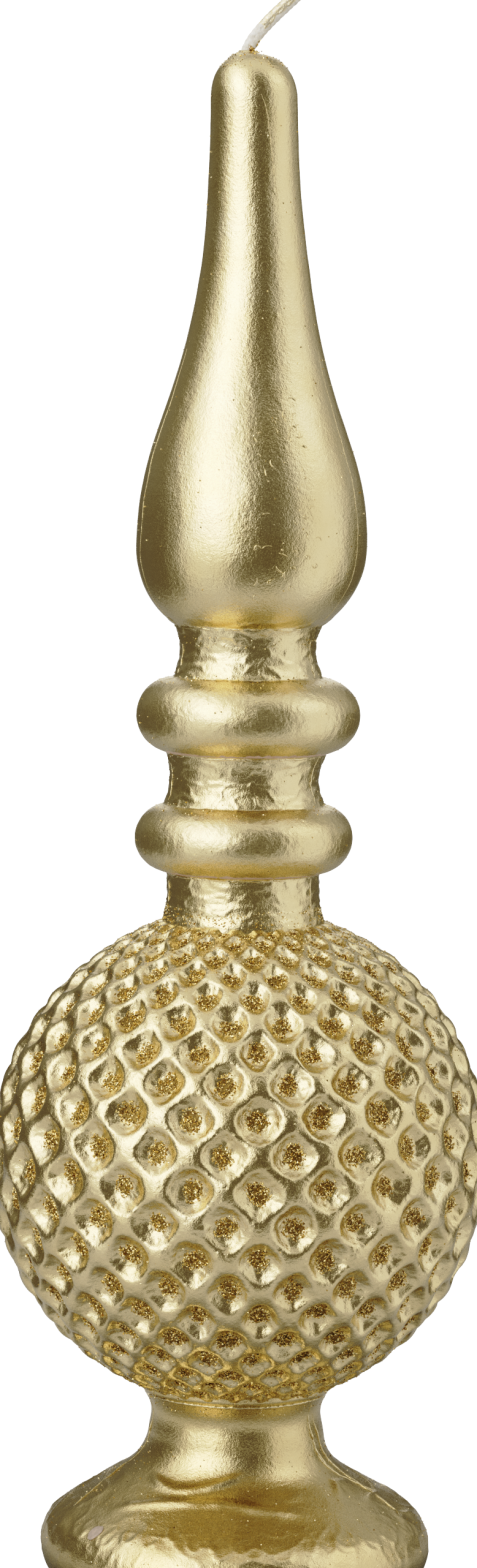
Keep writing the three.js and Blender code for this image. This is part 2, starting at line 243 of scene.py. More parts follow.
def spire_outline():
    """Everything above the ball, from inside it up over the beads and the bulb to the tip."""
    neck_foot = BALL_HEIGHT + math.sqrt(BALL_RADIUS ** 2 - BALL_NECK_RADIUS ** 2)
    lower = bead(LOWER_BEAD_HEIGHT, LOWER_BEAD_OUTER_RADIUS, LOWER_BEAD_ROUNDING,
                 BALL_NECK_WAIST, BEAD_NECK_RADIUS)
    upper = bead(UPPER_BEAD_HEIGHT, UPPER_BEAD_OUTER_RADIUS, UPPER_BEAD_ROUNDING,
                 BEAD_NECK_RADIUS, BULB_NECK_RADIUS)
    centre = BULB_RADIUS - BULB_ROUNDING
    start = -math.degrees(math.acos((BULB_NECK_RADIUS - centre) / BULB_ROUNDING))
    bulb = arc(centre, BULB_HEIGHT, BULB_ROUNDING, start, 0, 40)
    taper = cubic((BULB_RADIUS, BULB_HEIGHT),
                  (BULB_RADIUS, BULB_HEIGHT + SPIRE_BULB_HANDLE),
                  (TIP_RADIUS + SPIRE_TIP_TAPER, SHOULDER_HEIGHT - SPIRE_TIP_HANDLE),
                  (TIP_RADIUS, SHOULDER_HEIGHT), 90)
    tip = arc(0, 0, 1, 0, 86, 36) ** (2 / TIP_FULLNESS) * [TIP_RADIUS, TIP_HEIGHT]
    tip += [0, SHOULDER_HEIGHT]
    return np.concatenate([
        [[BALL_NECK_RADIUS, neck_foot - SUNK_IN_BALL]],
        neck(BALL_NECK_RADIUS, neck_foot, BALL_NECK_WAIST, BALL_NECK_WAIST, lower[0, 1])[:-1],
        lower,
        neck(BEAD_NECK_RADIUS, lower[-1, 1], BEAD_NECK_WAIST, BEAD_NECK_RADIUS, upper[0, 1])[1:-1],
        upper,
        neck(BULB_NECK_RADIUS, upper[-1, 1], BULB_NECK_WAIST, BULB_NECK_RADIUS, bulb[0, 1])[1:-1],
        bulb,
        taper[1:],
        tip[1:],
    ])


def even(outline, step):
    """The same outline with points about step apart."""
    along = lengths(outline)
    marks = np.linspace(0, along[-1], int(along[-1] / step) + 1)
    return np.stack([np.interp(marks, along, outline[:, i]) for i in (0, 1)], 1)


# The centre line's sway to the right of the axis, by height.
SWAY_HEIGHTS = [5, 13, 19, 25, 30, 38, 78, 88, 96, 104, 109, 114, 121, 127, 131, 134, 137,
                143, 149, 154, 159, 165, 171, 179, 186, 192, 198, 206, 213, 219, 226, 234,
                240, 245]
SWAY_SHIFTS = [0.35, 0.1, -0.2, 0.2, 0.15, 0, 0.05, 0.3, 0.6, 0.75, 0.3, 0.18, 0.15, 0.3, 0.1,
               0.3, 0.65, 0.7, 0.5, 0.45, 0.55, 0.8, 0.9, 0.85, 0.68, 0.62, 0.68, 0.8, 0.86,
               0.72, 0.5, 0.42, 0.32, 0.1]


def sway(height):
    """How far the centre line stands to the right of the axis at a height."""
    return np.interp(height, SWAY_HEIGHTS, SWAY_SHIFTS)


# Meshes

def add_object(name, data):
    """An object in the scene, from its mesh, light or camera."""
    thing = bpy.data.objects.new(name, data)
    bpy.context.scene.collection.objects.link(thing)
    return thing


def mesh_object(name, vertices, faces, smooth_faces=True):
    """An object from vertices in millimetres and faces as lists of vertex numbers."""
    mesh = bpy.data.meshes.new(name)
    mesh.from_pydata(np.asarray(vertices) * MM, [], faces)
    mesh.polygons.foreach_set("use_smooth", np.full(len(mesh.polygons), smooth_faces))
    mesh.update()
    return add_object(name, mesh)


def ring_faces(grid, first=0):
    """The faces of a closed skin over a stack of rings, a rows x columns x 3 array."""
    rows, columns = grid.shape[:2]
    index = first + np.arange(rows * columns).reshape(rows, columns)
    after = np.roll(index, -1, axis=1)
    sides = np.stack([index[:-1], after[:-1], after[1:], index[1:]], axis=-1).reshape(-1, 4)
    return sides.tolist() + [index[0, ::-1].tolist(), index[-1].tolist()]


def ring_mesh(name, *grids):
    """One object of closed skins over stacks of rings."""
    faces, first = [], 0
    for grid in grids:
        faces += ring_faces(grid, first)
        first += grid.shape[0] * grid.shape[1]
    return mesh_object(name, np.concatenate([grid.reshape(-1, 3) for grid in grids]), faces)


def turned_grid(outline, columns):
    """An outline's points turned about Z, the directions square to it, and the azimuths."""
    slope = np.gradient(outline, axis=0)
    outward = unit(np.stack([slope[:, 1], -slope[:, 0]], 1))
    azimuth = np.linspace(-np.pi, np.pi, columns, endpoint=False)
    points = round_axis(azimuth, outline[:, :1], outline[:, 1:])
    normals = round_axis(azimuth, outward[:, :1], outward[:, 1:])
    return points, normals, np.broadcast_to(azimuth, points.shape[:2])


def film_relief(points):
    """The lacquer film's own unevenness over smooth wax, drawn out upwards."""
    slow_waves = 0.08 * noise(points * [1, 1, 0.45], 9, 1)
    pebble = 0.028 * noise(points * [1, 1, 0.6], 2.2, 2)
    return slow_waves + pebble


def towards_wick(radius, height):
    """How far the middle of the tip is drawn to the left, where the wick comes out."""
    near_wick = smooth(4.5, 1.5, radius) * smooth(SHOULDER_HEIGHT, TOP_HEIGHT, height)
    return near_wick * (WICK_OFFSET + sway(TOP_HEIGHT))


# How fine the skins are: the step along an outline, and the columns round the axis.
OUTLINE_STEP = 0.3
SPIRE_COLUMNS = 380
FOOT_COLUMNS = 520
WAX_COLUMNS = 96
BALL_RINGS = 400
BALL_COLUMNS = 840

# How far creases and lumps stand out on the necks, and fine waves on the beads.
NECK_CREASES = 0.14
NECK_LUMPS = 0.09
BEAD_WAVES = 0.035


def build_spire():
    """The beads, necks, bulb and spire; the beads' faces take the piece's second material."""
    outline = even(spire_outline(), OUTLINE_STEP)
    points, normals, _ = turned_grid(outline, SPIRE_COLUMNS)
    height = points[..., 2]
    radius = np.hypot(points[..., 0], points[..., 1])
    on_neck = smooth(BEAD_NECK_RADIUS + 1.2, BEAD_NECK_RADIUS, radius)
    on_neck *= smooth(BULB_HEIGHT + 5, BULB_HEIGHT, height)
    relief = film_relief(points)
    relief += on_neck * NECK_CREASES * creases(points * [0.7, 0.7, 1.6], 2.6, 5)
    relief += on_neck * NECK_LUMPS * noise(points * [0.5, 0.5, 1.4], 1.3, 6)
    level = outline[:-1, 1]
    on_bead = np.abs(level - LOWER_BEAD_HEIGHT) < LOWER_BEAD_ROUNDING
    on_bead |= np.abs(level - UPPER_BEAD_HEIGHT) < UPPER_BEAD_ROUNDING
    relief[:-1] += on_bead[:, None] * BEAD_WAVES * noise(points[:-1], 1, 8)
    points = points + normals * relief[..., None]
    points[..., 0] += sway(height)
    points[..., 0] -= towards_wick(radius, height)
    spire = ring_mesh("spire_coat", points)
    satin = np.concatenate([np.repeat(on_bead, SPIRE_COLUMNS), [False, False]])
    spire.data.polygons.foreach_set("material_index", satin.astype(int))
    return spire


# Sags on the foot's flank: crests as azimuths and heights, how far out and how wide they are.
FOOT_SAGS = [
    ([(-54, 20.2), (-31, 19), (-22, 19.2), (-12, 19.9), (8, 21.8)], 0.42, 0.6),
    ([(-56, 15.6), (-34, 17.4), (-20, 17.8), (-4, 18), (34, 16.2)], 0.34, 0.55),
    ([(12, 18.8), (26, 18.2), (40, 18.6)], 0.16, 0.6),
    ([(50, 17), (62, 18.6), (80, 18.2)], 0.4, 0.7),
]
# Lobes of film that hang over the foot's rounded edge: azimuth, height and reach.
NOSE_LOBES = [(-58, 12.8, 1.6), (-45, 13, 1.9), (-36, 13.8, 1.5), (-28.5, 14, 1.8),
              (-20.5, 15, 1.6), (-12, 14.2, 1.9), (-4, 13.4, 1.8), (6, 13.2, 1.5),
              (15, 13, 1.9), (24, 13.6, 1.6), (31, 13.2, 1.7), (39, 13.6, 1.8),
              (48, 12.6, 1.7), (58, 13, 1.8), (70, 12.4, 1.6)]
LOBE_RISE = 0.11
LOBE_WIDTH = 0.35
# About the foot's radius where the lobes and the chip are.
FOOT_EDGE_REACH = 30
# The outline's corners are rounded off over so many points, between these.
BLUR_POINTS = 15
BLURRED = slice(10, -16)


def sags(points, azimuth):
    """How far the film's sags stand out on the front of the foot."""
    round_foot = np.degrees(azimuth)
    relief = np.zeros(azimuth.shape)
    for places, swell, width in FOOT_SAGS:
        marks, levels = np.array(places).T
        inside = smooth(0, 12, round_foot - marks[0]) * smooth(0, 14, marks[-1] - round_foot)
        away = (points[..., 2] - np.interp(round_foot, marks, levels)) / width
        relief += inside * swell * np.exp(-away ** 2) * (1 + 0.4 * noise(points, 4, 31))
    return relief * (np.cos(azimuth) > 0)


def lobes(points, azimuth):
    """How far the film's hanging lobes stand out on the foot's edge, at their lower rims."""
    relief = np.zeros(azimuth.shape)
    for degrees, level, reach in NOSE_LOBES:
        across = (azimuth - math.radians(degrees)) * FOOT_EDGE_REACH
        upwards = points[..., 2] - level
        rim = np.hypot(across, upwards) - reach * (1 + 0.2 * noise(points, 2, 35))
        relief += LOBE_RISE * np.exp(-(rim / LOBE_WIDTH) ** 2) * smooth(0.4, -0.4, upwards / reach)
    return relief


def build_foot():
    """The foot and its neck, with the film's folds and a lip turned in below."""
    outline = even(foot_outline(), OUTLINE_STEP)
    window = np.hanning(BLUR_POINTS) / np.hanning(BLUR_POINTS).sum()
    blurred = np.stack([np.convolve(outline[:, i], window, "same") for i in (0, 1)], 1)
    outline[BLURRED] = blurred[BLURRED]
    points, normals, azimuth = turned_grid(outline, FOOT_COLUMNS)
    height = points[..., 2]
    relief = film_relief(points) + sags(points, azimuth) + lobes(points, azimuth)
    at_sides = smooth(0.55, 0.25, np.cos(azimuth))
    on_flank = smooth(5, 12, height) * smooth(22, 17, height)
    relief += on_flank * (0.04 + 0.16 * at_sides) * creases(points, 7, 32)
    relief += on_flank * (0.03 + 0.06 * at_sides) * noise(points, 3, 33)
    on_nose = smooth(4, 8, height) * smooth(16.5, 13.5, height)
    relief += on_nose * 0.1 * creases(points * [0.8, 0.8, 1], 3.2, 34)
    above_edge = smooth(0.6, 3, height)
    points = points + normals * (relief * above_edge)[..., None]
    points[..., 0] += sway(points[..., 2]) * above_edge
    lip = points[:1] * [0.98, 0.98, 1]
    return ring_mesh("foot_coat", np.concatenate([lip + [0, 0, POCKET_TOP + 2], lip, points]))


# Folds, seams and scratches in the film, laid on as thin strips

def on_film(outline, azimuth, height):
    """Points on an outline's film at azimuths and heights, and the directions square to it."""
    step = 0.1
    below, radius, above = (np.interp(level, outline[:, 1], outline[:, 0])
                            for level in (height - step, height, height + step))
    slope = (above - below) / (2 * step)
    normals = unit(round_axis(azimuth, 1, -slope))
    points = round_axis(azimuth, radius, height)
    points = points + normals * film_relief(points)[..., None]
    points[..., 0] += sway(height) - towards_wick(radius, height)
    return points, normals


# A strip's half-round cross-section, as shares of its width and its rise.
STRIP_SECTION = [(0.5, -0.06), (0.32, 0.7), (0, 1), (-0.32, 0.7), (-0.5, -0.06)]
STRIP_STEP = 0.2
STRIP_DEPTH = 0.2


def strip(outline, places, width, rise):
    """A half-round strip of film along places given as azimuths in degrees and heights."""
    degrees, heights = np.array(places, float).T
    radius = np.interp(heights, outline[:, 1], outline[:, 0])
    steps = np.hypot(np.diff(np.radians(degrees)) * radius[:-1], np.diff(heights))
    along = np.concatenate([[0], np.cumsum(steps)])
    marks = np.linspace(0, along[-1], max(8, int(along[-1] / STRIP_STEP)))
    azimuth = np.radians(np.interp(marks, along, degrees))
    height = np.interp(marks, along, heights)
    # Noise at the strip's own place, so that no two strips waver alike.
    start = np.full((len(marks), 2), [degrees[0], heights[0]])
    seed = np.concatenate([marks[:, None], start], axis=1)
    azimuth = azimuth + 0.25 * width * noise(seed, 0.9, 41) / radius.mean()
    height = height + 0.25 * width * noise(seed, 0.9, 42)
    points, normals = on_film(outline, azimuth, height)
    side = unit(np.cross(np.gradient(points, axis=0), normals))
    taper = np.sin(np.pi * np.clip(np.linspace(0, 1, len(marks)), 0.01, 0.99)) ** 0.4
    swell = (taper * (1 + 0.45 * noise(seed, 0.8, 43)))[:, None]
    rings = [points + side * across * width * swell + normals * lift * rise * swell
             for across, lift in STRIP_SECTION]
    return np.stack(rings + [points - normals * STRIP_DEPTH], axis=1)


def winding(start, end, wander, count, seed):
    """Places from one azimuth and height to another, wandering sideways by wander degrees."""
    t = np.linspace(0, 1, count)
    marks = np.stack([t * 10, np.full(count, seed), np.zeros(count)], axis=-1)
    degrees = start[0] + (end[0] - start[0]) * t + wander * noise(marks, 1.1, seed)
    return np.stack([degrees, start[1] + (end[1] - start[1]) * t], axis=1)


# Seams and sagging edges at the sides of the foot, as azimuths and heights.
FOOT_SEAMS = [
    [(62, 30), (65.6, 28.3), (72.7, 23.3), (81, 19.9), (80, 17.5), (79.3, 16), (77.4, 13.8),
     (71, 12.4)],
    [(56, 31.5), (60, 26), (66, 22), (76, 18.6), (84, 16)],
    [(-74, 31), (-80, 24), (-90, 19.4), (-84, 17.7), (-78, 15), (-72, 12)],
    [(64, 24), (70, 21), (74, 19.6)],
]
# The mould's two seams above the ball, in stretches: each end's degrees past the seam's azimuth
# and its height, then the wander, the count and the seed of winding, the width and the rise.
SEAM_AZIMUTHS = (60, -78)
SEAM_STRETCHES = [
    ((0, 109.6), (3, 116.5), 2, 20, 4, 0.6, 0.16),
    ((3, 128), (4, 136), 2, 20, 5, 0.6, 0.16),
    ((4, 148), (5, 154), 2, 20, 6, 0.6, 0.16),
    ((4, 155), (6, 200), 1.5, 60, 7, 0.3, 0.06),
]
# The corners where a neck meets the bulb or a bead from below.
CORNER_HEIGHTS = (155.9, 135.4, 116.2)
SCRATCH = [(9, 239.8), (14, 238.4), (18, 236), (23, 231), (26, 227), (30, 222)]
WORMS = 46


def seam_strips(foot, spire):
    """The mould's seams and the sagging edges beside them."""
    strips = [strip(foot, places, 0.55, 0.22) for places in FOOT_SEAMS]
    strips.append(strip(foot, winding((-62, 32.4), (66, 32.2), 0, 60, 3), 0.7, 0.3))
    for seam in SEAM_AZIMUTHS:
        for (first, low), (last, high), wander, count, seed, width, rise in SEAM_STRETCHES:
            path = winding((seam + first, low), (seam + last, high), wander, count, seed)
            strips.append(strip(spire, path, width, rise))
    return strips


def corner_strips(spire):
    """Ragged rings of film in the corners, in short strips."""
    strips = []
    for height in CORNER_HEIGHTS:
        for start in range(-110, 110, 16):
            end = start + rng.uniform(10, 26)
            lift = rng.uniform(-0.15, 0.15)
            path = winding((start, height + lift), (end, height - lift), 0, 20, start)
            strips.append(strip(spire, path, 0.4, rng.uniform(0.04, 0.12)))
    return strips


def worm_strips(spire):
    """Short worm-like wrinkles on the right of the bulb."""
    strips = []
    for _ in range(WORMS):
        azimuth, height = rng.uniform(2, 34), rng.uniform(161, 192)
        turn, bend, reach = rng.uniform(0, 2 * np.pi), rng.normal(0, 1.4), rng.uniform(0.7, 2.2)
        angles = turn + bend * np.linspace(-1, 1, 7)
        # A millimetre across the bulb is about 3.4 degrees.
        steps = np.stack([np.cos(angles) * 3.4, np.sin(angles)], axis=1) * reach / 7
        path = np.cumsum(steps, axis=0) + [azimuth, height]
        strips.append(strip(spire, path, rng.uniform(0.18, 0.34), rng.uniform(0.08, 0.16)))
    return strips


def build_folds():
    """All that lies on the film as strips."""
    foot, spire = foot_outline(), spire_outline()
    strips = seam_strips(foot, spire) + corner_strips(spire)
    strips.append(strip(spire, SCRATCH, 0.22, 0.05))
    return ring_mesh("film_folds", *strips, *worm_strips(spire))


# The chip in the foot, and its cross-section as shares of its radius and heights off the film.
CHIP_AZIMUTH = -50.3
CHIP_HEIGHT = 12.6
CHIP_RADIUS = 1.1
CHIP_SECTION = [(0.05, -0.15), (1, -0.15), (1, 0.15), (0.9, 0.19), (0.5, 0.19), (0.05, 0.19)]


def build_chip():
    """A fleck of bare wax where the lacquer has come off the foot."""
    foot = foot_outline()
    turn = full_turn(24)
    edge = CHIP_RADIUS * (1 + 0.12 * np.sin(2 * turn + 1) + 0.08 * np.sin(3 * turn))
    rings = []
    for share, lift in CHIP_SECTION:
        across = share * edge * np.cos(turn)
        azimuth = math.radians(CHIP_AZIMUTH) + across / FOOT_EDGE_REACH
        height = CHIP_HEIGHT + share * edge * np.sin(turn) * 0.9
        points, normals = on_film(foot, azimuth, height)
        rings.append(points + normals * lift)
    return ring_mesh("bare_wax", np.stack(rings))


# The ball

PITCH = 2 * math.pi / DIMPLES_AROUND
MIDDLE_ROW = (DIMPLE_ROWS - 1) / 2
# A place in a cell that is sure to lie outside it.
FAR = 9.0
# Each dimple's shift, size and depth, with a spare row at each end.
dimple_shift = rng.normal(0, 0.03, (DIMPLE_ROWS + 2, DIMPLES_AROUND, 2))
dimple_size = 1 + rng.normal(0, 0.03, (DIMPLE_ROWS + 2, DIMPLES_AROUND))
dimple_depth = 1 + rng.normal(0, 0.07, (DIMPLE_ROWS + 2, DIMPLES_AROUND))


def row_latitude(row):
    """The latitude of a row of dimples; row may lie between two rows."""
    swing = np.sin(ROW_STEP_DEGREES / LATTICE_REACH_DEGREES * (row - MIDDLE_ROW))
    return np.radians(LATTICE_REACH_DEGREES * swing + LATTICE_RAISE_DEGREES)


def row_at(latitude):
    """The row of dimples at a latitude, the inverse of row_latitude."""
    level = (np.degrees(latitude) - LATTICE_RAISE_DEGREES) / LATTICE_REACH_DEGREES
    return np.arcsin(np.clip(level, -1, 1)) * LATTICE_REACH_DEGREES / ROW_STEP_DEGREES + MIDDLE_ROW


def row_azimuth(row, number):
    """Where a row's first dimple stands: whole rows stand half a pitch apart."""
    turn = LATTICE_TURN_DEGREES + ROW_TWIST_DEGREES * (row - MIDDLE_ROW)
    return np.radians(turn) + np.where(number % 2, PITCH / 2, 0)


def lattice_place(azimuth, latitude, warp):
    """Each point's place in its dimple's cell, that dimple's depth, and how near a crossing it is.

    The place is 0 in the cell's middle and 1 on the ridge lines round it.
    """
    row = row_at(latitude)
    best = np.full(row.shape, FAR)
    depth = np.ones(row.shape)
    crossing = np.zeros(row.shape)
    for candidate in (np.floor(row), np.floor(row) + 1):
        number = np.clip(candidate, -1, DIMPLE_ROWS).astype(int)
        place = (azimuth - row_azimuth(row, number)) / PITCH
        column = np.round(place).astype(int) % DIMPLES_AROUND
        shift = dimple_shift[number + 1, column]
        across = 2 * (place - np.round(place))
        upwards = row - candidate
        crest = np.sin(np.pi / 2 * (across + upwards)) * np.sin(np.pi / 2 * (across - upwards))
        across = across - shift[..., 0] + warp[..., 0]
        upwards = upwards - shift[..., 1] + warp[..., 1]
        along, aside = np.abs(across + upwards), np.abs(across - upwards)
        distance = (along ** CELL_SQUARENESS + aside ** CELL_SQUARENESS) ** (1 / CELL_SQUARENESS)
        distance /= dimple_size[number + 1, column]
        distance = np.where((candidate < 0) | (candidate > DIMPLE_ROWS - 1), FAR, distance)
        nearer = distance < best
        best = np.where(nearer, distance, best)
        depth = np.where(nearer, dimple_depth[number + 1, column], depth)
        crossing = np.where(nearer, crest ** 2, crossing)
    return best, depth, crossing


def on_ball(azimuth, latitude, radius):
    """Points at a radius from the ball's centre."""
    height = BALL_HEIGHT + radius * np.sin(latitude)
    return round_axis(azimuth, radius * np.cos(latitude), height)


def ball_surface(azimuth, latitude):
    """The film's points on the ball at an array of directions."""
    flat = on_ball(azimuth, latitude, CREST_RADIUS)
    warp = 0.07 * np.stack([noise(flat, 3.1, 21), noise(flat, 3.1, 22)], axis=-1)
    warp += 0.02 * np.stack([noise(flat, 1.1, 23), noise(flat, 1.1, 24)], axis=-1)
    place, depth, crossing = lattice_place(azimuth, latitude, warp)
    bowl = 1 - (place / DIMPLE_MOUTH) ** BOWL_FLATNESS
    bowl = (bowl + np.sqrt(bowl ** 2 + LIP_ROUNDING ** 2)) / 2
    shallower = np.clip(1.2 * np.cos(latitude), 0.3, 1)
    relief = -shallower * (DIMPLE_DEPTH * depth * bowl + RIDGE_SAG * (1 - crossing))
    relief += 0.07 * noise(flat, 3.5, 11) + 0.025 * noise(flat, 1.2, 14)
    on_wall = smooth(0.03, 0.2, bowl) * smooth(0.98, 0.8, bowl)
    relief += on_wall * (0.1 * creases(flat, 1.7, 12) + 0.07 * noise(flat, 0.9, 13))
    points = on_ball(azimuth, latitude, CREST_RADIUS - FILM_INSET + relief)
    points[..., 0] += sway(points[..., 2])
    return points


def build_ball():
    """The ball with its lattice of dimples; its ends lie inside the necks."""
    cap = math.acos(0.75 * BALL_NECK_WAIST / BALL_RADIUS)
    latitude, azimuth = np.meshgrid(np.linspace(-cap, cap, BALL_RINGS), full_turn(BALL_COLUMNS),
                                    indexing="ij")
    return ring_mesh("ball_coat", ball_surface(azimuth, latitude))


# Glitter

# A grain is a flat tetrahedron, with as many faces as corners.
GRAIN_FACES = 4


def crystals(centres, outward, sizes):
    """Grains turned every way: their vertices and faces."""
    count = len(centres)
    normal = unit(outward + rng.normal(0, 0.5, (count, 3)))
    side = unit(np.cross(normal, rng.normal(0, 1, (count, 3))))
    other = np.cross(normal, side)
    corners = [centres + sizes[:, None] * 0.6 * (side * math.cos(a) + other * math.sin(a))
               for a in np.radians([0, 120, 240])]
    vertices = np.stack(corners + [centres + sizes[:, None] * 0.3 * normal], axis=1)
    faces = np.array([[0, 2, 1], [0, 1, 3], [1, 2, 3], [2, 0, 3]])
    faces = faces + (np.arange(count) * GRAIN_FACES)[:, None, None]
    return vertices.reshape(-1, 3), faces.reshape(-1, 3)


# A dab's radius, as a share of its dimple's room and at most, and its stray in radians.
DAB_SHARE = 0.42
DAB_RADIUS = 1.7
DAB_STRAY = 0.006
DIMPLE_BOTTOM_RADIUS = 38.2
# A mound of glue has a middle, two rings of so many points, and a point below the film.
DAB_SIDES = 16
MOUND_POINTS = 2 * DAB_SIDES + 2
GRAINS_PER_AREA = 56


def dab_edge(size):
    """A dab's ragged edge: its reach as a function of angles."""
    first, second = rng.uniform(0, 2 * np.pi, 2)
    return lambda turn: size * (1 + 0.12 * np.sin(2 * turn + first)
                                + 0.07 * np.sin(5 * turn + second))


def dab_points(dab, reach, angle, lift):
    """Points over the film round a dab, given by its azimuth, latitude and outward normal."""
    middle, level, normal = dab
    azimuth = middle + reach * np.cos(angle) / (DIMPLE_BOTTOM_RADIUS * math.cos(level))
    latitude = level + reach * np.sin(angle) / DIMPLE_BOTTOM_RADIUS
    return ball_surface(azimuth, latitude) + normal * lift[:, None]


def mound(dab, edge, first):
    """A dab's low mound of glue: its points, and its faces, with points numbered from first."""
    turn = full_turn(DAB_SIDES)
    reach = np.concatenate([[0], 0.55 * edge(turn), edge(turn), [0]])
    angle = np.concatenate([[0], turn, turn, [0]])
    lift = np.repeat([0.06, 0.05, -0.1, -0.4], [1, DAB_SIDES, DAB_SIDES, 1])
    inner = first + 1 + np.arange(DAB_SIDES)
    outer = inner + DAB_SIDES
    inner_next, outer_next = np.roll(inner, -1), np.roll(outer, -1)
    faces = [[first, a, b] for a, b in zip(inner, inner_next)]
    faces += [[a, c, d, b] for a, b, c, d in zip(inner, inner_next, outer, outer_next)]
    faces += [[first + MOUND_POINTS - 1, b, a] for a, b in zip(outer, outer_next)]
    return dab_points(dab, reach, angle, lift), faces


def build_dabs():
    """A dab in the bottom of each dimple: grains over a mound of glue, the second material."""
    mounds, faces, centres, outward = [], [], [], []
    for row in range(DIMPLE_ROWS):
        for column in range(DIMPLES_AROUND):
            shift = dimple_shift[row + 1, column]
            middle = float(row_azimuth(row, row)) + (column + shift[0] / 2) * PITCH
            level = float(row_latitude(row + shift[1])) + rng.normal(0, DAB_STRAY)
            middle += rng.normal(0, DAB_STRAY)
            normal = round_axis(middle, math.cos(level), math.sin(level))
            dab = (middle, level, normal)
            room = PITCH / 2 * BALL_RADIUS * math.cos(level)
            size = min(DAB_RADIUS, DAB_SHARE * room) * rng.uniform(0.88, 1.08)
            edge = dab_edge(size)
            points, sides = mound(dab, edge, len(mounds) * MOUND_POINTS)
            mounds.append(points)
            faces += sides
            count = int(GRAINS_PER_AREA * size ** 2) + 8
            part = np.sqrt(rng.uniform(0, 1.1, count))
            angle = rng.uniform(0, 2 * np.pi, count)
            lift = rng.uniform(0.05, 0.26, count) - 0.08 * part
            centres.append(dab_points(dab, part * edge(angle), angle, lift))
            outward.append(np.broadcast_to(normal, (count, 3)))
    centres, outward = np.concatenate(centres), np.concatenate(outward)
    sizes = rng.uniform(0.22, 0.44, len(centres))
    grains, grain_faces = crystals(centres, outward, sizes)
    grain_faces = grain_faces + len(mounds) * MOUND_POINTS
    dabs = mesh_object("glitter_dabs", np.concatenate(mounds + [grains]),
                       faces + grain_faces.tolist(), False)
    glue = np.arange(len(dabs.data.polygons)) < len(faces)
    dabs.data.polygons.foreach_set("material_index", glue.astype(int))
    return dabs


# Bands of stray grains: two latitudes on the ball, or two heights on the rest, and a count.
BALL_FLECKS = [(-66, -40, 3000), (48, 70, 3000), (-40, 48, 1500)]
FILM_FLECKS = [
    ("spire", 108.6, 111.2, 900), ("spire", 126.6, 128.4, 150), ("spire", 146.8, 148.6, 180),
    ("spire", 152.8, 154.6, 120), ("spire", 244.2, 246.7, 260), ("foot", 30.5, 34, 500),
    ("spire", 160, 240, 260), ("foot", 8, 24, 800), ("spire", 118, 145, 200),
]
# Clumps at the wick's root: the middle from the centre of the tip, the spread and the count.
CLUMPS = [
    ((-0.25, -0.62, 0.45), (0.22, 0.1, 0.25), 70), ((0.45, -0.3, 0.1), (0.3, 0.25, 0.12), 60),
    ((0.85, -0.2, 1.75), (0.12, 0.12, 0.16), 36), ((0.7, -0.2, 1.2), (0.06, 0.08, 0.2), 16),
]
CLUMP_OUTWARD = [0.5, -0.8, 0.33]
# The ball's stray grains stay within this radius, so that its outline is clean.
FLECK_LIMIT = 39.7


def build_flecks():
    """Stray grains; the darker ones, at the ball's ends and the wick, take the second material."""
    centres, outward = [], []
    for low, high, count in BALL_FLECKS:
        azimuth = rng.uniform(-np.pi, np.pi, count)
        crowded = low if low < -50 else high
        latitude = np.radians(rng.triangular(low, crowded, high, count))
        points = ball_surface(azimuth, latitude)
        inside = np.hypot(points[:, 0], points[:, 1]) < FLECK_LIMIT
        centres.append(points[inside])
        outward.append(round_axis(azimuth, np.cos(latitude), np.sin(latitude))[inside])
    outlines = {"spire": spire_outline(), "foot": foot_outline()}
    for part, low, high, count in FILM_FLECKS:
        azimuth = rng.uniform(-np.pi, np.pi, count)
        points, normals = on_film(outlines[part], azimuth, rng.uniform(low, high, count))
        centres.append(points)
        outward.append(normals)
    for place, spread_out, count in CLUMPS:
        middle = np.array([0, 0, TOP_HEIGHT]) + place
        centres.append(middle + rng.normal(0, 1, (count, 3)) * spread_out)
        outward.append(np.broadcast_to(CLUMP_OUTWARD, (count, 3)))
    centres, outward = np.concatenate(centres), np.concatenate(outward)
    sizes = rng.uniform(0.14, 0.36, len(centres))
    vertices, faces = crystals(centres + outward * 0.05, outward, sizes)
    flecks = mesh_object("glitter_flecks", vertices, faces.tolist(), False)
    height = centres[:, 2]
    darker = (height > 34) & (height < 52) | (np.abs(height - 106) < 4) | (height > TOP_HEIGHT)
    flecks.data.polygons.foreach_set("material_index", np.repeat(darker.astype(int), GRAIN_FACES))
    return flecks


# The wax and the wick

# How far the wax stands inside the film's outline, and its radius in the ball.
WAX_INSET = 0.5
WAX_BALL_RADIUS = 37.2
PLUG_ROUNDING = 0.4


def build_wax():
    """The wax inside the film, which shows on the underside."""
    foot = foot_outline()
    foot = foot[foot[:, 1] < BALL_HEIGHT - 38]
    inner_foot = np.stack([foot[:, 0] - WAX_INSET, foot[:, 1]], 1)
    inner_foot[foot[:, 1] < 4, 0] -= 0.2
    ball = arc(0, BALL_HEIGHT, WAX_BALL_RADIUS, -66, 70, 60)
    spire = spire_outline()[1:] - [WAX_INSET, 0.2]
    spire[:, 0] = np.maximum(spire[:, 0], 0.2)
    base = [[POCKET_RADIUS, POCKET_TOP], [POCKET_RADIUS, 0], [inner_foot[0, 0] - 0.6, 0]]
    outline = np.concatenate([base, inner_foot, ball, spire])
    points, _, _ = turned_grid(outline, WAX_COLUMNS)
    points[..., 0] += sway(points[..., 2]) * smooth(0.6, 3, points[..., 2])
    return ring_mesh("wax_body", points)


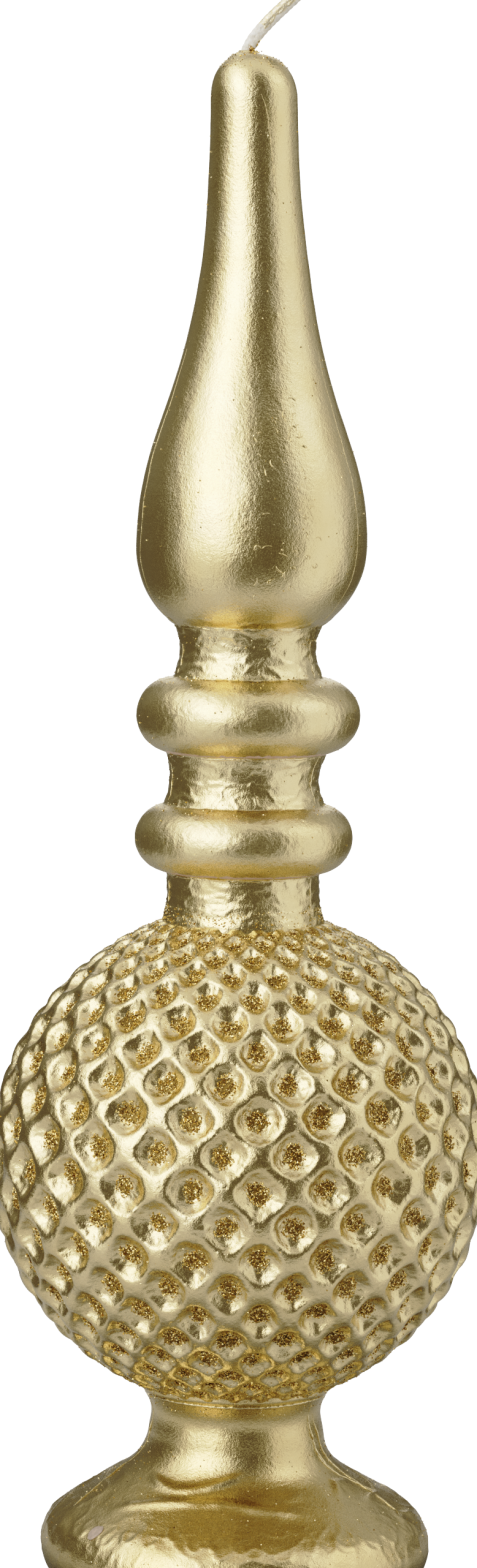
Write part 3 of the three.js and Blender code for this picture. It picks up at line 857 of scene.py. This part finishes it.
def build_plug():
    """The wax plug poured into the base pocket, with a slightly uneven face."""
    edge = PLUG_RADIUS - PLUG_ROUNDING
    face = even(np.array([[0.3, PLUG_FACE], [edge, PLUG_FACE]]), 0.4)
    corner = arc(edge, PLUG_FACE + PLUG_ROUNDING, PLUG_ROUNDING, -90, 0, 4)
    top = [[PLUG_RADIUS, PLUG_TOP], [0.3, PLUG_TOP]]
    outline = np.concatenate([face[:-1], corner, top])
    points, _, _ = turned_grid(outline, WAX_COLUMNS)
    on_face = smooth(PLUG_FACE + 0.3, PLUG_FACE, outline[:, None, 1])
    points[..., 2] += on_face * (1 + noise(points, 3, 71)) * 0.06
    return ring_mesh("plug_face", points)


def wick_path():
    """Points up the middle of the wick, from the sustainer to its cut end."""
    root = np.array([-WICK_OFFSET, TOP_HEIGHT])
    bend = cubic(*[root + np.array(p) for p in WICK_BEND], 200)
    heights = np.linspace(WICK_BOTTOM, TOP_HEIGHT - 1, 12)
    straight = np.stack([np.full(12, -WICK_OFFSET), heights], 1)
    return np.concatenate([straight, even(bend, 0.12)])


# How far the braid's mean surface lies inside the wick's width and thickness.
BRAID_INSET = (0.14, 0.1)
STRAND_PITCH = 1.9


def wick_rings(grow, start=-math.inf):
    """Rings round the wick from a start onwards; grow(along, turn) adds to its half width."""
    path = wick_path()
    along = lengths(path)
    along -= np.interp(TOP_HEIGHT, path[:, 1], along)
    direction = unit(np.gradient(path, along, axis=0))
    kept = along > start
    path, direction, along = path[kept], direction[kept], along[kept]
    along, turn = np.meshgrid(along, full_turn(48), indexing="ij")
    extra = grow(along, turn)
    wide = np.cos(turn) * (WICK_WIDTH / 2 - BRAID_INSET[0] + extra)
    thick = np.sin(turn) * (WICK_THICKNESS / 2 - BRAID_INSET[1] + extra)
    side = np.stack([direction[:, 1], -direction[:, 0]], 1)
    x = path[:, None, 0] + wide * side[:, None, 0]
    z = path[:, None, 1] + wide * side[:, None, 1]
    return np.stack([x, -thick, z], axis=-1)


def strands(along, turn):
    """The braid's plump strands, crossing in chevrons on both flat sides."""
    across = np.cos(turn)
    back = np.sin(turn) > 0
    chevron = np.sin(2 * np.pi * (along / STRAND_PITCH + 0.45 * np.abs(across) + 0.5 * back))
    groove = -0.06 * np.exp(-(across / 0.16) ** 2)
    return (0.06 * chevron + groove) * smooth(-1, 1, along)


def gilding(along, turn):
    """The gold film over the braid: it starts raggedly and leaves some of the underside bare."""
    marks = np.stack([along, 1.5 * np.cos(turn), 1.5 * np.sin(turn)], axis=-1)
    ragged = 0.9 * noise(marks, 1.2, 51)
    past_root = smooth(-0.3, 0.3, along - GILDING_START - ragged)
    underside = smooth(0.35, 0.6, np.cos(turn) + 0.35 * noise(marks, 1.6, 52))
    cover = past_root * (1 - underside * smooth(13, 10, along))
    film = 0.05 * cover - 0.1 * (1 - cover) + 0.02 * noise(marks, 0.5, 53)
    return 0.8 * strands(along, turn) + film


# The collar's cross-section: distances from the wick's middle and heights over the tip.
COLLAR_SECTION = [(0.9, -0.9), (1.8, -0.9), (1.8, -0.25), (1.55, 0.05), (1.35, 0.3), (1.15, 0.36),
                  (0.9, 0.2)]


def build_collar():
    """The film's torn edge and clotted glitter round the wick's root."""
    turn = full_turn(60)
    marks = np.stack([2 * np.cos(turn), 2 * np.sin(turn), 0 * turn], axis=-1)
    rings = []
    for reach, lift in COLLAR_SECTION:
        far = reach + 0.2 * noise(marks, 0.8, 61)
        high = lift + 0.25 * max(lift + 0.4, 0) * noise(marks, 0.7, 62) - 0.03 * far ** 2
        rings.append(np.stack([-WICK_OFFSET + far * np.cos(turn), 0.8 * far * np.sin(turn),
                               TOP_HEIGHT + high], axis=-1))
    return ring_mesh("wick_collar", np.stack(rings))


# Materials

def material(name):
    """An empty node material and its Principled shader."""
    made = bpy.data.materials.new(name)
    made.use_nodes = True
    return made, made.node_tree, made.node_tree.nodes["Principled BSDF"]


def set_inputs(node, values):
    """Sets a node's inputs, by name or number."""
    for socket, value in values.items():
        node.inputs[socket].default_value = value


def noise_value(tree, size, detail=2, roughness=0.5, ridged=False):
    """A noise texture's value, with lumps about size millimetres across on the object."""
    place = tree.nodes.new("ShaderNodeTexCoord")
    node = tree.nodes.new("ShaderNodeTexNoise")
    set_inputs(node, {"Scale": 1 / (size * MM), "Detail": detail, "Roughness": roughness})
    if ridged:
        node.noise_type = "RIDGED_MULTIFRACTAL"
        node.normalize = True
    tree.links.new(place.outputs["Object"], node.inputs["Vector"])
    return node.outputs["Fac"]


# The span that most of a noise's values fall in.
NOISE_SPAN = (0.3, 0.7)


def map_range(tree, source, start, end):
    """A value mapped from one span to another, and held at the ends."""
    node = tree.nodes.new("ShaderNodeMapRange")
    set_inputs(node, dict(zip(("From Min", "From Max", "To Min", "To Max"), (*start, *end))))
    tree.links.new(source, node.inputs["Value"])
    return node.outputs["Result"]


def bump(tree, source, depth, before=None):
    """A bump depth millimetres high from a value, laid over an earlier bump."""
    node = tree.nodes.new("ShaderNodeBump")
    set_inputs(node, {"Distance": depth * MM})
    tree.links.new(source, node.inputs["Height"])
    if before:
        tree.links.new(before, node.inputs["Normal"])
    return node.outputs["Normal"]


def two_tones(tree, source, first, second):
    """A colour between two, by a value from 0 to 1."""
    node = tree.nodes.new("ShaderNodeValToRGB")
    for element, place, tone in zip(node.color_ramp.elements, (0.35, 0.65), (first, second)):
        element.position = place
        element.color = (*tone, 1)
    tree.links.new(source, node.inputs["Fac"])
    return node.outputs["Color"]


# The lacquer's base colour, between two close tones.
GOLD_LOW = np.array([0.73, 0.61, 0.35])
GOLD_HIGH = np.array([0.77, 0.66, 0.41])


def gold_lacquer(name, crinkle, roughness=(0.14, 0.3), tone=(1, 1, 1)):
    """Pale gold lacquer with coarse metal flake.

    crinkle is how high its fine creases stand in millimetres, roughness its least and most, and
    tone a tint over its colour.
    """
    made, tree, shader = material(name)
    set_inputs(shader, {"Metallic": 1})
    colour = two_tones(tree, noise_value(tree, 7, 3), tone * GOLD_LOW, tone * GOLD_HIGH)
    tree.links.new(colour, shader.inputs["Base Color"])
    gloss = map_range(tree, noise_value(tree, 0.22), NOISE_SPAN, roughness)
    tree.links.new(gloss, shader.inputs["Roughness"])
    folds = bump(tree, noise_value(tree, 1.1, 3, ridged=True), crinkle)
    peel = bump(tree, noise_value(tree, 0.6), 0.04, folds)
    flake = bump(tree, noise_value(tree, 0.25, 2, 0.7), 0.05, peel)
    tree.links.new(flake, shader.inputs["Normal"])
    return made


def grained(name, first, second, size, roughness, metallic=0, depth=0.03):
    """A material whose tone and roughness waver together, over bumps half that size."""
    made, tree, shader = material(name)
    set_inputs(shader, {"Metallic": metallic})
    grain = noise_value(tree, size, 3, 0.6)
    tree.links.new(two_tones(tree, grain, first, second), shader.inputs["Base Color"])
    gloss = map_range(tree, grain, NOISE_SPAN, roughness)
    tree.links.new(gloss, shader.inputs["Roughness"])
    bumps = bump(tree, noise_value(tree, size / 2), depth)
    tree.links.new(bumps, shader.inputs["Normal"])
    return made


def waxy(name):
    """Pinkish bare wax: cloudy, a little glossy, and light shines some way into it."""
    made = grained(name, (0.66, 0.46, 0.38), (0.78, 0.6, 0.51), 2.5, (0.35, 0.55))
    set_inputs(made.node_tree.nodes["Principled BSDF"],
               {"Subsurface Weight": 0.2, "Subsurface Radius": (0.002, 0.001, 0.0007)})
    return made


# The stage

# The lights' aim, and in metres the table that sweeps up into a wall: where its edges are, and
# how far each runs from left to right.
LIT_POINT = Vector((0, 0, 0.15))
TABLE_FRONT, TABLE_BACK = -0.165, 1.3
SWEEP_RADIUS = 0.6
WALL_TOP = 2.5
FRONT_EDGE = (-0.18, 0.16)
BACK_EDGE = (-0.3, 0.3)


def facing(away, roll):
    """The rotation of a light or camera that looks against away, rolled by degrees."""
    rolled = Matrix.Rotation(math.radians(roll), 3, "Z")
    return (away.to_track_quat("Z", "Y").to_matrix() @ rolled).to_euler()


def panel(name, azimuths, elevations, radiance, roll=0, distance=1.5):
    """A soft light that spans two azimuths and two elevations, with a given brightness."""
    width, height = (2 * distance * math.tan(math.radians(high - low) / 2)
                     for low, high in (azimuths, elevations))
    light = bpy.data.lights.new(name, "AREA")
    light.shape = "RECTANGLE"
    light.size = width
    light.size_y = height
    light.energy = radiance * math.pi * width * height
    thing = add_object(name, light)
    azimuth, elevation = (math.radians(sum(span) / 2) for span in (azimuths, elevations))
    away = Vector(round_axis(azimuth, math.cos(elevation), math.sin(elevation)))
    thing.location = LIT_POINT + away * distance
    thing.rotation_euler = facing(away, roll)
    return thing


def camera_only(tree, base, extra):
    """A strength of base, and of base plus extra where the camera sees it directly."""
    path = tree.nodes.new("ShaderNodeLightPath")
    node = tree.nodes.new("ShaderNodeMath")
    node.operation = "MULTIPLY_ADD"
    set_inputs(node, {1: extra, 2: base})
    tree.links.new(path.outputs["Is Camera Ray"], node.inputs[0])
    return node.outputs["Value"]


def table_material():
    """A pale matt table with a painted shadow under the candle and painted shade towards the back,
    white to the camera.
    """
    made, tree, shader = material("pale_floor")
    place = tree.nodes.new("ShaderNodeTexCoord")
    far = tree.nodes.new("ShaderNodeVectorMath")
    far.operation = "LENGTH"
    tree.links.new(place.outputs["Object"], far.inputs[0])
    split = tree.nodes.new("ShaderNodeSeparateXYZ")
    tree.links.new(place.outputs["Object"], split.inputs[0])
    # Painted shade: the table is darkened round the candle's foot as a contact shadow, and
    # darkened towards the back.
    painted_contact_shadow = map_range(tree, far.outputs["Value"], (0.03, 0.08), (0.2, 1))
    depth = map_range(tree, split.outputs["Y"], (0, 0.15), (0.75, 0.4))
    painted_floor_shade = tree.nodes.new("ShaderNodeMath")
    painted_floor_shade.operation = "MULTIPLY"
    tree.links.new(painted_contact_shadow, painted_floor_shade.inputs[0])
    tree.links.new(depth, painted_floor_shade.inputs[1])
    tree.links.new(painted_floor_shade.outputs["Value"], shader.inputs["Base Color"])
    set_inputs(shader, {"Roughness": 0.9, "Emission Color": (1, 1, 1, 1)})
    tree.links.new(camera_only(tree, 0, 3), shader.inputs["Emission Strength"])
    return made


def build_backdrop():
    """The pale table that sweeps up into a wall."""
    profile = [(TABLE_FRONT, 0, FRONT_EDGE), (TABLE_BACK, 0, BACK_EDGE)]
    for angle in np.radians(range(6, 91, 6)):
        profile.append((TABLE_BACK + SWEEP_RADIUS * math.sin(angle),
                        SWEEP_RADIUS * (1 - math.cos(angle)), BACK_EDGE))
    profile.append((TABLE_BACK + SWEEP_RADIUS, WALL_TOP, BACK_EDGE))
    vertices = [(x, y, z) for y, z, edge in profile for x in edge]
    faces = [(2 * i, 2 * i + 1, 2 * i + 3, 2 * i + 2) for i in range(len(profile) - 1)]
    floor = mesh_object("floor", np.array(vertices) / MM, faces)
    floor.data.materials.append(table_material())


def build_studio():
    """A dim warm studio, white to the camera, and its soft lights."""
    world = bpy.data.worlds.new("studio")
    world.use_nodes = True
    tree = world.node_tree
    background = tree.nodes["Background"]
    set_inputs(background, {"Color": (1, 0.92, 0.72, 1)})
    tree.links.new(camera_only(tree, 0.16, 8), background.inputs["Strength"])
    bpy.context.scene.world = world
    panel("key_core", (-58, -14), (0, 38), 1.6, -18)
    panel("key_upper", (-92, -50), (17, 56), 1)
    panel("key_wide", (-73, -16), (-44, 58), 0.85, -13)
    panel("side_high", (-112, -92), (32, 58), 0.8)
    panel("side_back", (-168, -130), (34, 64), 0.45)
    panel("fill", (47, 109), (-50, 45), 0.85)
    panel("fill_upper", (58, 98), (28, 47), 0.5)
    panel("fill_edge", (109, 146), (5, 48), 0.3)
    panel("fill_back", (146, 168), (20, 42), 0.3)
    panel("side_edge", (-158, -116), (6, 36), 0.07)
    panel("overhead", (-45, 45), (55, 110), 0.74)
    panel("behind", (170, 190), (-8, 16), 1).visible_camera = False
    panel("behind_high", (164, 196), (16, 50), 0.5).visible_camera = False


# The camera: the photograph's frame is 778 x 2560 pixels.
PIXEL_SIZE = 0.0983
PICTURE_HEIGHT = 2560
CAMERA_DISTANCE = 700
CAMERA_ELEVATION = 4.8
CAMERA_ROLL = 0.75
AIM_RIGHT = -0.74
AIM_HEIGHT = 130.57


def build_camera():
    """The photograph's camera."""
    camera = bpy.data.cameras.new("camera")
    camera.sensor_width = 36
    camera.lens = camera.sensor_width * CAMERA_DISTANCE / (PICTURE_HEIGHT * PIXEL_SIZE)
    camera.clip_end = 50
    thing = add_object("camera", camera)
    elevation = math.radians(CAMERA_ELEVATION)
    away = Vector((0, -math.cos(elevation), math.sin(elevation)))
    thing.location = (Vector((AIM_RIGHT, 0, AIM_HEIGHT)) + away * CAMERA_DISTANCE) * MM
    thing.rotation_euler = facing(away, CAMERA_ROLL)
    bpy.context.scene.camera = thing


# Brightness in the scene and in the picture: a soft toe, an even middle and a long shoulder.
WHITE_POINT = 2.5
TONES = [(0.04, 0.018), (0.08, 0.05), (0.135, 0.122), (0.2, 0.198), (0.35, 0.35), (0.65, 0.63),
         (0.85, 0.745), (1.37, 0.905), (1.7, 0.96)]


def set_exposure():
    """The view's curve of tones."""
    view = bpy.context.scene.view_settings
    view.view_transform = "Standard"
    view.use_curve_mapping = True
    mapping = view.curve_mapping
    mapping.white_level = (WHITE_POINT,) * 3
    for brightness, shown in TONES:
        mapping.curves[3].points.new(brightness / WHITE_POINT, shown)
    mapping.update()


def dress(piece, slot, node, *looks):
    """Gives a piece its materials, and lets it stand for a CAD node."""
    for look in looks:
        piece.data.materials.append(look)
    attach(piece, "root")
    if node:
        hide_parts(node)


build_camera()
build_backdrop()
build_studio()

smooth_gold = gold_lacquer("smooth_gold", 0.035)
crinkled_gold = gold_lacquer("crinkled_gold", 0.11, tone=(0.95, 0.94, 0.93))
# Painted shade: the foot's lacquer is a darker, browner copy of the gold, standing in for the dim
# surroundings it reflects.
shaded_foot_gold = gold_lacquer("shaded_foot_gold", 0.035, tone=(0.9, 0.87, 0.8))
satin_gold = gold_lacquer("satin_gold", 0.06, (0.19, 0.36))
sparkle = grained("gold_glitter", (0.6, 0.38, 0.1), (0.98, 0.84, 0.46), 0.5, (0.1, 0.25), 1)
pale_sparkle = grained("pale_glitter", (0.78, 0.6, 0.28), (0.98, 0.88, 0.6), 0.5, (0.1, 0.25), 1)
amber_glue = grained("amber_glue", (0.17, 0.1, 0.02), (0.34, 0.22, 0.06), 0.4, (0.3, 0.45), 0.4)
wax = waxy("wax")
dull_wax = grained("bare_wax", (0.42, 0.34, 0.27), (0.55, 0.45, 0.37), 0.8, (0.4, 0.6))
cotton = grained("waxed_cotton", (0.8, 0.75, 0.66), (0.93, 0.91, 0.87), 0.5, (0.5, 0.75), 0, 0.08)
gilt = grained("gilded_cotton", (0.86, 0.8, 0.66), (0.74, 0.62, 0.36), 0.35, (0.3, 0.5), 0.7, 0.06)
tinplate = grained("tinplate", (0.62, 0.62, 0.64), (0.76, 0.76, 0.78), 0.8, (0.25, 0.45), 1)

dress(build_spire(), "lacquer", "lacquer_coat", smooth_gold, satin_gold)
dress(build_foot(), "lacquer", "lacquer_coat", shaded_foot_gold)
dress(build_ball(), "lacquer", "lacquer_coat", crinkled_gold)
dress(build_folds(), "lacquer", None, smooth_gold)
dress(build_dabs(), "glitter", None, sparkle, amber_glue)
dress(build_flecks(), "glitter", None, pale_sparkle, sparkle)
dress(build_wax(), "wax", "wax_core", wax)
dress(build_chip(), "wax", None, dull_wax)
dress(ring_mesh("wick_braid", wick_rings(strands)), "wick", "wick", cotton)
dress(ring_mesh("wick_gilding", wick_rings(gilding, 2.5)), "lacquer", None, gilt)
dress(build_collar(), "lacquer", None, crinkled_gold)
dress(build_plug(), "wax", "base_plug", wax)
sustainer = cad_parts["wick_sustainer"]
sustainer.data.materials.clear()
sustainer.data.materials.append(tinplate)

set_exposure()
